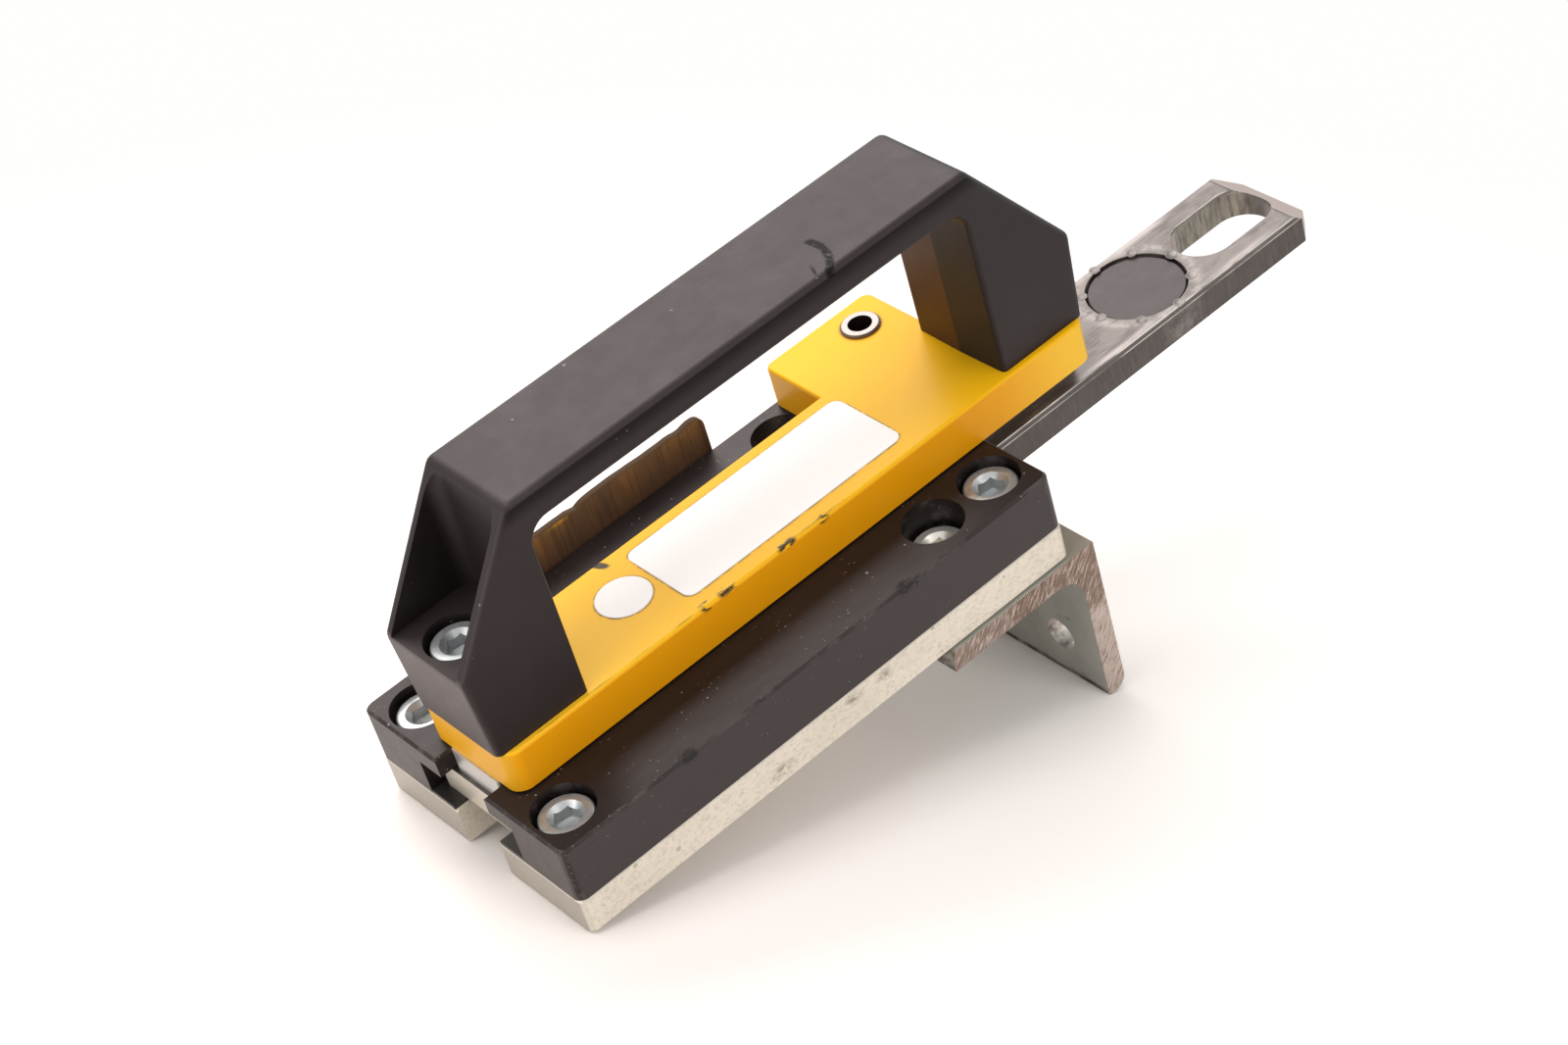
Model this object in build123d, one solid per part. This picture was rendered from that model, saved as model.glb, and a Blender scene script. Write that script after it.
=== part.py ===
from build123d import *
from math import radians, tan
import os

# Hand-operated guard bolt that carries the coded actuator of a non-contact safety switch.
# X runs along the bolt to its tip, Y to the rear rail, Z up from the base plate.
# The origin is the middle of the base plate's underside, all sizes are in millimetres,
# and the bolt is drawn pushed home, as it lies when the guard is shut.

# Base plate and its open slot
base_length = 144.0
base_width = 75.0
base_thickness = 10.0
base_corner = 2.0
base_edge = 0.6
slot_width = 16.0

# Guide rails
rail_height = 15.0
lip_thickness = 5.0
lip_gap = 18.0
groove_width = 34.6
rail_corner = 2.5
rail_edge = 0.7
rail_screw_inset = 9.0
rail_screw_edge = 11.0
bracket_screw_inset = 26.5

# Slide strips under the bar
strip_thickness = 1.0
strip_inset = 0.6
strip_side_gap = 0.2

# M8 cap screws and lock washers
screw_d = 8.0
head_d = 13.0
head_height = 8.0
socket_af = 6.0
socket_depth = 4.0
counterbore_d = 15.0
rail_head_sink = 2.0
screw_hole_d = 9.0
thread_gap = 0.05
lock_washer_d = 12.7
lock_washer_thickness = 2.0
washer_bore = 8.4
rail_screw_length = 12.0
bracket_screw_length = 16.0
left_handle_screw_length = 40.0
right_handle_screw_length = 35.0

# Angle bracket under the far end
angle_leg = 45.0
angle_thickness = 5.5
angle_root = 7.0
angle_toe = 3.0
angle_overhang = 6.2
angle_side_gap = 1.0
angle_hole_d = 9.0
angle_hole_edge = 12.5
angle_hole_drop = 32.5

# Guard strip on the rear face
guard_length = 90.0
guard_start = 15.0
guard_thickness = 2.0
guard_rise = 10.0
guard_lift = 2.0
guard_corner = 3.0
guard_screw_d = 4.0
guard_screw_length = 12.0
guard_head_d = 8.0
guard_head_height = 2.6
guard_screw_count = 3
guard_screw_inset = 10.0
guard_screw_height = 7.5

# Travel and running clearances of the sled
travel = 65.0
slide_gap = 0.05
plate_gap = 0.5

# Tongue bar
bar_reach = 75.5
bar_width = 30.0
bar_thickness = 8.0
bar_start = 3.5
bar_edge = 1.0
tip_bevel_length = 7.0
tip_bevel_depth = 4.2
tip_corner = 5.0
tip_hole_width = 16.0
tip_hole_length = 28.0
tip_hole_from_end = 17.5
tip_hole_edge = 0.4

# Actuator disc set into the bar
disc_d = 24.4
disc_thickness = 4.4
disc_play = 0.4
disc_edge = 0.4
disc_well_depth = 5.0
disc_from_end = 46.7

# Stop pin pressed into the bar and its groove in the base
pin_d = 6.0
pin_length = 12.0
pin_stick_out = 5.0
pin_chamfer = 0.5
pin_from_start = 113.0
stop_groove_width = 7.0
stop_groove_depth = 6.0
stop_play = 0.3

# Spacer between the lips
spacer_side_gap = 0.3
spacer_inset = 0.5
spacer_edge = 0.4

# Carriage plate with its side wing
plate_inset = 0.7
plate_width = 33.0
plate_thickness = 11.0
plate_start = 5.0
plate_corner = 4.0
plate_edge = 0.9
wing_length = 33.2
wing_reach = 20.3
wing_corner = 2.5

# Lock eye in the wing, whose bore just clears the rail's end when the bolt is home
eye_past_rail = 3.4
eye_bore_d = 6.0
eye_body_d = 8.0
eye_rim_d = 9.8
eye_rim_height = 0.8
eye_from_wing_start = 23.4
eye_from_plate_edge = 11.3

# Bow handle
handle_length = 175.4
handle_width = 29.5
handle_height = 55.0
handle_shoulder = 22.1
shoulder_bulge = 1.5
top_setback = 22.2
leg_depth = 25.3
grip_thickness = 8.2
grip_corner = 5.0
top_round = 3.0
handle_round = 1.8
opening_round = 1.2
opening_draft = 1.2
handle_screw_inset = 7.7
pocket_wall = 2.8
pocket_back_wall = 3.8
pocket_round = 4.0
handle_head_sink = 1.6

# Levels and places worked out from the sizes above
rail_top = base_thickness + rail_height
lip_under = rail_top - lip_thickness
bar_under = base_thickness + strip_thickness + slide_gap
bar_top = bar_under + bar_thickness
plate_under = rail_top + plate_gap
plate_top = plate_under + plate_thickness
base_end = base_length / 2
rail_screw_offset = base_width / 2 - rail_screw_edge
angle_length = base_width + 2 * angle_side_gap
angle_hole_spacing = base_width - 2 * angle_hole_edge
rail_screw_x = base_end - rail_screw_inset
bracket_screw_x = base_end - bracket_screw_inset
rail_seat = rail_top - rail_head_sink - head_height
angle_face = base_end + angle_overhang
plate_length = handle_length - 2 * plate_inset
screw_spacing = handle_length - 2 * handle_screw_inset
bar_x = bar_start - base_end
bar_length = plate_start - bar_start + plate_length + bar_reach
tip_x = bar_x + bar_length
disc_x = tip_x - disc_from_end
tip_hole_x = tip_x - tip_hole_from_end
pin_x = bar_x + pin_from_start
plate_x = plate_start - base_end
plate_mid_x = plate_x + plate_length / 2
spacer_length = plate_length - 2 * spacer_inset
spacer_width = lip_gap - 2 * spacer_side_gap
eye_x = base_end + eye_past_rail
wing_x = eye_x - eye_from_wing_start
wing_edge_y = plate_width / 2 + wing_reach
eye_y = plate_width / 2 + eye_from_plate_edge
left_screw_x = plate_mid_x - screw_spacing / 2
right_screw_x = plate_mid_x + screw_spacing / 2
pocket_floor = plate_top + handle_shoulder
handle_seat = pocket_floor - handle_head_sink - head_height - lock_washer_thickness
handle_top = plate_top + handle_height

LOW = (Align.CENTER, Align.CENTER, Align.MIN)
HIGH = (Align.CENTER, Align.CENTER, Align.MAX)
parts = {}


def block(x0, x1, y0, y1, z0, z1):
    """A box between two corners."""
    middle = ((x0 + x1) / 2, (y0 + y1) / 2, (z0 + z1) / 2)
    return Pos(*middle) * Box(x1 - x0, y1 - y0, z1 - z0)


def hole(diameter, x, y, z0, z1):
    """An upright round cutter."""
    return Pos(x, y, z0) * Cylinder(diameter / 2, z1 - z0, align=LOW)


def edges_along(shape, axis, test):
    """The straight edges along one axis whose middle passes a test."""
    return [e for e in shape.edges().filter_by(axis) if test(e.center())]


def profile_along_y(points, y0, y1):
    """A solid from an outline in the XZ plane, pushed along Y."""
    face = Plane.XZ * make_face(Polyline(*points, close=True))
    return Pos(0, y1, 0) * extrude(face, amount=y1 - y0)


# Fasteners, drawn with the underside of the head at z = 0
def cap_screw(length):
    head = Cylinder(head_d / 2, head_height, align=LOW)
    socket = extrude(RegularPolygon(socket_af / 2, 6, major_radius=False), socket_depth)
    shank = Cylinder(screw_d / 2, length, align=HIGH)
    return head + shank - Pos(0, 0, head_height - socket_depth) * socket


def pan_screw():
    head = Cylinder(guard_head_d / 2, guard_head_height, align=LOW)
    head = chamfer(head.edges().group_by(Axis.Z)[-1], guard_head_height / 2)
    shank = Cylinder(guard_screw_d / 2, guard_screw_length, align=HIGH)
    return head + shank


def lock_washer():
    ring = Cylinder(lock_washer_d / 2, lock_washer_thickness, align=LOW)
    return ring - Cylinder(washer_bore / 2, lock_washer_thickness, align=LOW)


# Base plate: open slot for the left screw's tip, blind groove for the stop pin, tapped holes
def base_plate():
    plate = block(-base_end, base_end, -base_width / 2, base_width / 2, 0, base_thickness)
    plate = fillet(plate.edges().filter_by(Axis.Z), base_corner)
    plate = chamfer(plate.edges().group_by(Axis.Z)[0] + plate.edges().group_by(Axis.Z)[-1], base_edge)
    slot = block(-base_end - 1, left_screw_x, -slot_width / 2, slot_width / 2, -1, base_thickness + 1)
    slot += hole(slot_width, left_screw_x, 0, -1, base_thickness + 1)
    groove_floor = base_thickness - stop_groove_depth
    ends = (pin_x - travel, pin_x)
    reach = stop_groove_width / 2 - pin_d / 2 - stop_play
    groove = block(ends[0] + reach, ends[1] - reach, -stop_groove_width / 2, stop_groove_width / 2,
                   groove_floor, base_thickness + 1)
    groove += hole(stop_groove_width, ends[0] + reach, 0, groove_floor, base_thickness + 1)
    groove += hole(stop_groove_width, ends[1] - reach, 0, groove_floor, base_thickness + 1)
    plate = plate - slot - groove
    for y in (-rail_screw_offset, rail_screw_offset):
        for x in (-rail_screw_x, rail_screw_x):
            plate -= hole(screw_d + 2 * thread_gap, x, y, -1, base_thickness + 1)
        plate -= hole(screw_hole_d, bracket_screw_x, y, -1, base_thickness + 1)
    return plate


# Guide rail: solid outer strip with a lip that hangs over the bar
def guide_rail(side):
    outer = base_width / 2
    outline = [(groove_width / 2, base_thickness), (outer, base_thickness), (outer, rail_top),
               (lip_gap / 2, rail_top), (lip_gap / 2, lip_under), (groove_width / 2, lip_under)]
    face = Plane.YZ * make_face(Polyline(*outline, close=True))
    rail = Pos(-base_end, 0, 0) * extrude(face, amount=base_length)
    rail = fillet(edges_along(rail, Axis.Z, lambda c: c.Y > outer - 0.1), rail_corner)
    rail = chamfer(rail.edges().group_by(Axis.Z)[-1], rail_edge)
    for x in (-rail_screw_x, rail_screw_x):
        rail -= hole(counterbore_d, x, rail_screw_offset, rail_seat, rail_top + 1)
        rail -= hole(screw_hole_d, x, rail_screw_offset, base_thickness - 1, rail_top)
    rail -= hole(counterbore_d, bracket_screw_x, rail_screw_offset, base_thickness - 1, rail_top + 1)
    if side > 0:
        for x in guard_screw_places():
            tapped = Cylinder(guard_screw_d / 2 + thread_gap, 2 * guard_screw_length)
            rail -= Pos(x, outer, base_thickness + guard_screw_height) * Rot(90, 0, 0) * tapped
        return rail
    return mirror(rail, Plane.XZ)


def slide_strip(side):
    inner = slot_width / 2 + strip_inset
    outer = groove_width / 2 - strip_side_gap
    strip = block(-base_end, base_end, inner, outer, base_thickness, base_thickness + strip_thickness)
    return strip if side > 0 else mirror(strip, Plane.XZ)


# Guard strip: upright strip screwed to the rear rail's outer face
def guard_x():
    return guard_start - base_end


def guard_screw_places():
    step = (guard_length - 2 * guard_screw_inset) / (guard_screw_count - 1)
    return [guard_x() + guard_screw_inset + step * i for i in range(guard_screw_count)]


def guard_strip():
    back = base_width / 2
    strip = block(guard_x(), guard_x() + guard_length, back, back + guard_thickness,
                  guard_lift, rail_top + guard_rise)
    strip = fillet(edges_along(strip, Axis.Y, lambda c: c.Z > rail_top), guard_corner)
    for x in guard_screw_places():
        clear = Cylinder(guard_screw_d / 2 + thread_gap, 6 * guard_thickness)
        strip -= Pos(x, back, base_thickness + guard_screw_height) * Rot(90, 0, 0) * clear
    return strip


def guard_screws():
    face = base_width / 2 + guard_thickness
    level = base_thickness + guard_screw_height
    return [Pos(x, face, level) * Rot(-90, 0, 0) * pan_screw() for x in guard_screw_places()]


# Angle bracket: equal angle with a rounded root, one leg under the base, one hanging
def angle_bracket():
    x1 = angle_face
    x0 = x1 - angle_leg
    t = angle_thickness
    outline = [(x0, 0), (x1, 0), (x1, -angle_leg), (x1 - t, -angle_leg), (x1 - t, -t), (x0, -t)]
    angle = profile_along_y(outline, -angle_length / 2, angle_length / 2)
    root = edges_along(angle, Axis.Y, lambda c: abs(c.X - x1 + t) < 0.01 and abs(c.Z + t) < 0.01)
    angle = fillet(root, angle_root)
    toes = edges_along(angle, Axis.Y, lambda c: c.X - c.Z > x1 + angle_leg - 0.01
                       or c.X - c.Z < x0 + 0.01)
    angle = fillet(toes, angle_toe)
    for y in (-angle_hole_spacing / 2, angle_hole_spacing / 2):
        bore = Pos(x1, y, -angle_hole_drop) * Rot(0, 90, 0) * Cylinder(angle_hole_d / 2, 4 * t)
        angle -= bore
    for y in (-rail_screw_offset, rail_screw_offset):
        angle -= hole(screw_d + 2 * thread_gap, bracket_screw_x, y, -t - 1, 1)
    return angle


# Tongue bar: flat bar with a lead-in bevel, clipped corners, latch hole and actuator well
def tongue_bar():
    half = bar_width / 2
    bar = block(bar_x, tip_x, -half, half, bar_under, bar_top)
    bar = chamfer(edges_along(bar, Axis.Z, lambda c: c.X > tip_x - 0.1), tip_corner)
    bevel = [(tip_x - tip_bevel_length, bar_top + 0.01), (tip_x + 1, bar_top + 0.01),
             (tip_x + 1, bar_top - tip_bevel_depth * (tip_bevel_length + 1) / tip_bevel_length)]
    bar -= profile_along_y(bevel, -bar_width, bar_width)
    long_edges = edges_along(bar, Axis.X, lambda c: c.Z > bar_top - 0.01 and abs(c.Y) > half - 0.01)
    bar = chamfer(long_edges, bar_edge)
    half_straight = (tip_hole_length - tip_hole_width) / 2
    latch = block(tip_hole_x - half_straight, tip_hole_x + half_straight,
                  -tip_hole_width / 2, tip_hole_width / 2, bar_under - 1, bar_top + 1)
    for x in (tip_hole_x - half_straight, tip_hole_x + half_straight):
        latch += hole(tip_hole_width, x, 0, bar_under - 1, bar_top + 1)
    bar -= latch
    rim = [e for e in bar.edges().group_by(Axis.Z)[-1] if abs(e.center().Y) < half - bar_edge
           and abs(e.center().X - tip_hole_x) < tip_hole_length / 2]
    bar = chamfer(rim, tip_hole_edge)
    bar -= hole(disc_d + 2 * disc_play, disc_x, 0, bar_top - disc_well_depth, bar_top + 1)
    for x in (left_screw_x, right_screw_x):
        bar -= hole(screw_d + 2 * thread_gap, x, 0, bar_under - 1, bar_top + 1)
    bar -= hole(pin_d, pin_x, 0, bar_under - 1, bar_under + pin_length - pin_stick_out)
    return bar


def actuator_disc():
    disc = Pos(disc_x, 0, bar_top - disc_well_depth) * Cylinder(disc_d / 2, disc_thickness, align=LOW)
    return chamfer(disc.edges().group_by(Axis.Z)[-1], disc_edge)


def stop_pin():
    pin = Cylinder(pin_d / 2, pin_length, align=LOW)
    pin = chamfer(pin.edges().group_by(Axis.Z)[0], pin_chamfer)
    return Pos(pin_x, 0, bar_under - pin_stick_out) * pin


def spacer_block():
    half = spacer_width / 2
    spacer = block(plate_x + spacer_inset - 1, plate_x + spacer_inset + spacer_length, -half, half,
                   bar_top, plate_under)
    spacer = chamfer(spacer.edges().filter_by(Axis.Z), spacer_edge)
    for x in (left_screw_x, right_screw_x):
        spacer -= hole(screw_hole_d, x, 0, bar_top - 1, plate_under + 1)
    return spacer


# Carriage plate: painted flat plate with a wing to the rear
def carriage_plate():
    half = plate_width / 2
    body = block(plate_x, plate_x + plate_length, -half, half, plate_under, plate_top)
    wing = block(wing_x, wing_x + wing_length, 0, wing_edge_y, plate_under, plate_top)
    plate = body + wing
    plate = fillet(edges_along(plate, Axis.Z, lambda c: c.Y > half + 1), wing_corner)
    ends = edges_along(plate, Axis.Z, lambda c: c.X < plate_x + 1 or c.X > plate_x + plate_length - 1)
    plate = fillet(ends, plate_corner)
    plate = fillet(plate.edges().group_by(Axis.Z)[-1], plate_edge)
    for x in (left_screw_x, right_screw_x):
        plate -= hole(screw_hole_d, x, 0, plate_under - 1, plate_top + 1)
    plate -= hole(eye_body_d, eye_x, eye_y, plate_under - 1, plate_top + 1)
    return plate


# Lock eye: pressed steel bush with a rolled rim
def lock_eye():
    body = Cylinder(eye_body_d / 2, plate_thickness, align=LOW)
    rim = Pos(0, 0, plate_thickness) * Cylinder(eye_rim_d / 2, eye_rim_height, align=LOW)
    rim = chamfer(rim.edges().group_by(Axis.Z)[-1], eye_rim_height / 2)
    eye = body + rim - Cylinder(eye_bore_d / 2, 4 * plate_thickness)
    return Pos(eye_x, eye_y, plate_under) * eye


# Bow handle: moulded grip whose sloping ends hold open pockets for the screws
def handle_pocket():
    """The pocket cutter at the left end, open through the sloping face."""
    back = plate_mid_x - handle_length / 2 + leg_depth - pocket_back_wall
    half = handle_width / 2 - pocket_wall
    cutter = block(back - handle_length / 4, back, -half, half, pocket_floor, handle_top + 1)
    cutter = fillet(edges_along(cutter, Axis.Z, lambda c: c.X > back - 0.1), pocket_round)
    return cutter


def handle_opening(inner, half):
    """The finger opening, drafted both ways from the mould's parting plane."""
    top = handle_top - grip_thickness + grip_corner
    lean = (half + 1) * tan(radians(opening_draft))
    side = inner - lean
    outline = block(plate_mid_x - side, plate_mid_x + side, -1, 1, plate_top - grip_corner,
                    top - grip_corner - lean)
    outline = fillet(edges_along(outline, Axis.Y, lambda c: c.Z > plate_top), grip_corner)
    middle = section(outline, section_by=Plane.XZ).face()
    front = extrude(middle, amount=half + 1, dir=(0, -1, 0), taper=-opening_draft)
    return front + mirror(front, Plane.XZ)


def handle_slope_points():
    foot = handle_length / 2
    return (foot + shoulder_bulge, pocket_floor), (foot - top_setback, handle_top)


def bow_handle():
    foot = handle_length / 2
    half = handle_width / 2
    shoulder, crown = handle_slope_points()
    right = [(foot, plate_top), shoulder, crown]
    left = [(-x, z) for x, z in reversed(right)]
    outline = [(plate_mid_x + x, z) for x, z in right + left]
    body = profile_along_y(outline, -half, half)
    inner = foot - leg_depth
    opening = handle_opening(inner, half)
    crowns = edges_along(body, Axis.Y, lambda c: c.Z > handle_top - 0.1)
    body = fillet(crowns, top_round)
    shoulders = edges_along(body, Axis.Y, lambda c: abs(c.Z - pocket_floor) < 0.1)
    body = fillet(shoulders, top_round)
    rims = [e for e in body.edges() if abs(abs(e.center().Y) - half) < 0.01
            and e.center().Z > plate_top + 0.1]
    body = fillet(rims, handle_round)
    body -= opening
    pocket = handle_pocket()
    body -= pocket
    body -= mirror(pocket, Plane.YZ.offset(plate_mid_x))
    for x in (left_screw_x, right_screw_x):
        body -= hole(counterbore_d, x, 0, handle_seat, pocket_floor + 1)
        body -= hole(screw_hole_d, x, 0, plate_top - 1, handle_seat + 1)
    inner_edges = [e for e in body.edges() if abs(abs(e.center().Y) - half) < 0.01
                   and e.center().Z > plate_top + 0.1
                   and abs(e.center().X - plate_mid_x) < inner + 0.1
                   and e.center().Z < handle_top - grip_thickness + 0.1]
    return fillet(inner_edges, opening_round)


# The fixed side
parts["base_plate"] = base_plate()
parts["front_rail"] = guide_rail(-1)
parts["rear_rail"] = guide_rail(1)
parts["front_slide_strip"] = slide_strip(-1)
parts["rear_slide_strip"] = slide_strip(1)
parts["guard_strip"] = guard_strip()
parts["guard_strip_screws"] = guard_screws()
parts["angle_bracket"] = angle_bracket()
for name, side in (("front_rail_screws", -1), ("rear_rail_screws", 1)):
    parts[name] = [Pos(x, side * rail_screw_offset, rail_seat) * cap_screw(rail_screw_length)
                   for x in (-rail_screw_x, rail_screw_x)]
bracket_places = [(bracket_screw_x, y) for y in (-rail_screw_offset, rail_screw_offset)]
parts["bracket_screws"] = [Pos(x, y, base_thickness) * cap_screw(bracket_screw_length)
                           for x, y in bracket_places]

# The sled
parts["tongue_bar"] = tongue_bar()
parts["actuator_disc"] = actuator_disc()
parts["stop_pin"] = stop_pin()
parts["spacer_block"] = spacer_block()
parts["carriage_plate"] = carriage_plate()
parts["lock_eye"] = lock_eye()
parts["bow_handle"] = bow_handle()
screw_seat = handle_seat + lock_washer_thickness
parts["left_handle_screw"] = Pos(left_screw_x, 0, screw_seat) * cap_screw(left_handle_screw_length)
parts["right_handle_screw"] = Pos(right_screw_x, 0, screw_seat) * cap_screw(right_handle_screw_length)
parts["handle_lock_washers"] = [Pos(x, 0, handle_seat) * lock_washer()
                                for x in (left_screw_x, right_screw_x)]

os.makedirs("parts", exist_ok=True)
for name, shape in parts.items():
    solid = Compound(children=shape) if isinstance(shape, list) else shape
    export_step(solid, f"parts/{name}.step")
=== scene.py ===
import math

import bmesh
import bpy
from mathutils import Euler, Matrix, Vector


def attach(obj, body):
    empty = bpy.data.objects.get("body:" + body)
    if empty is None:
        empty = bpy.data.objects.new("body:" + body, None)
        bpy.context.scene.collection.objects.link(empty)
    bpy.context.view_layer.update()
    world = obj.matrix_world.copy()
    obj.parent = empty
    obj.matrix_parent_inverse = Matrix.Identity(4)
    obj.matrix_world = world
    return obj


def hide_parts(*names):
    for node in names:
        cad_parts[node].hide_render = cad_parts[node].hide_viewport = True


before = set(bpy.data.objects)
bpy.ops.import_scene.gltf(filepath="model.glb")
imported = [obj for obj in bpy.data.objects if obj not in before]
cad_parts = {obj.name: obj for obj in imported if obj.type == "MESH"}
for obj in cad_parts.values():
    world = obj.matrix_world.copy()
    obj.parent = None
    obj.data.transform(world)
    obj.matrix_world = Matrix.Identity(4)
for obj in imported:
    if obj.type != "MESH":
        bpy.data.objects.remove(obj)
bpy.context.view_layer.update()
MM = 0.001


# Measures of the part in millimetres, as its solids have them
BASE_END = 72.0
BASE_TOP = 10.0
ANGLE_FOOT = (72.7, -45.0)
BRACKET_HOLE_Y = 25.0
BRACKET_HOLE_Z = -32.5
RAIL_SEAT = 15.0
RAIL_TOP = 25.0
RAIL_SIDE = 37.5
RAIL_END = 72.0
RAIL_SCREW_X = 63.0
RAIL_SCREW_Y = 26.5
BRACKET_SCREW_X = 45.5
BAR_TOP = 19.05
DISC_X = 135.8
SLOT_X = 165.0
PLATE_TOP = 36.5
PLATE_FRONT = -16.5
EYE_X = 75.4
EYE_Y = 27.8
HANDLE_SEAT = 49.0
LEFT_SCREW_X = -60.0
RIGHT_SCREW_X = 100.0
CROWN_TOP = PLATE_TOP + 55.0

# Measures of what is only modelled here, in millimetres too
LABEL_X = 21.75
LABEL_Y = 0.8
LABEL_LONG = 64.5
LABEL_WIDE = 23.8
LABEL_CORNER = 2.6
STICKER_X = -19.0
STICKER_Y = 2.1
STICKER_R = 6.7
SHEET_THICK = 0.14
HEAD_R = 6.5
HEAD_HIGH = 8.0
THREAD_R = 4.0
THREAD_PITCH = 1.25
SCREW_EDGE = 0.7
KEY_R = 3.46
STAKE_RING = 13.3
STAKE_R = 1.45

# Shares of the radius that is left in the grooves of knurl and thread
KNURL = 0.974
THREAD = 0.86


# Small helpers for modelling
def choose(piece):
    bpy.ops.object.select_all(action="DESELECT")
    bpy.context.view_layer.objects.active = piece
    piece.select_set(True)


def start_edit(piece):
    choose(piece)
    bpy.ops.object.mode_set(mode="EDIT")


def end_edit():
    bpy.ops.object.mode_set(mode="OBJECT")


def pick(piece, kind, test):
    """Selects the faces, edges or vertices of a piece in edit mode that pass a test on their middle."""
    mesh = bmesh.from_edit_mesh(piece.data)
    bpy.ops.mesh.select_all(action="DESELECT")
    bpy.ops.mesh.select_mode(type={"faces": "FACE", "edges": "EDGE", "verts": "VERT"}[kind])
    for item in getattr(mesh, kind):
        if kind == "faces":
            middle, way = item.calc_center_median(), item.normal
        elif kind == "edges":
            middle = (item.verts[0].co + item.verts[1].co) / 2
            way = (item.verts[1].co - item.verts[0].co).normalized()
        else:
            middle, way = item.co, item.normal
        if test(middle / MM, way):
            item.select_set(True)
    mesh.select_flush_mode()
    bmesh.update_edit_mesh(piece.data)


def box(x, y, z, long, wide, high):
    bpy.ops.mesh.primitive_cube_add(size=1, location=(x * MM, y * MM, z * MM))
    piece = bpy.context.object
    piece.scale = (long * MM, wide * MM, high * MM)
    bpy.ops.object.transform_apply(location=True, rotation=True, scale=True)
    return piece


def cylinder(x, y, z, radius, high, sides, turn=0.0):
    bpy.ops.mesh.primitive_cylinder_add(vertices=sides, radius=radius * MM, depth=high * MM,
                                        location=(x * MM, y * MM, z * MM), rotation=(0, 0, turn))
    return bpy.context.object


def bevel_picked(width, segments=1):
    bpy.ops.mesh.bevel(offset=width * MM, segments=segments, affect="EDGES")


def step_picked(width, lift):
    """Insets the picked face and moves its inner part up or down."""
    bpy.ops.mesh.inset(thickness=width * MM)
    bpy.ops.transform.translate(value=(0, 0, lift * MM))


def settle(piece, body, material, covers=()):
    """Puts the piece's place in its mesh, gives it a finish and ties it to a body."""
    choose(piece)
    bpy.ops.object.transform_apply(location=True, rotation=True, scale=True)
    piece.data.materials.clear()
    piece.data.materials.append(material)
    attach(piece, body)
    if covers:
        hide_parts(*covers)


def smooth(piece, angle):
    choose(piece)
    bpy.ops.object.shade_smooth_by_angle(angle=math.radians(angle))


def apply_modifiers(piece):
    choose(piece)
    for m in list(piece.modifiers):
        bpy.ops.object.modifier_apply(modifier=m.name)


def join(pieces, name):
    choose(pieces[0])
    for p in pieces[1:]:
        p.select_set(True)
    if len(pieces) > 1:
        bpy.ops.object.join()
    pieces[0].name = name
    return pieces[0]


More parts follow.
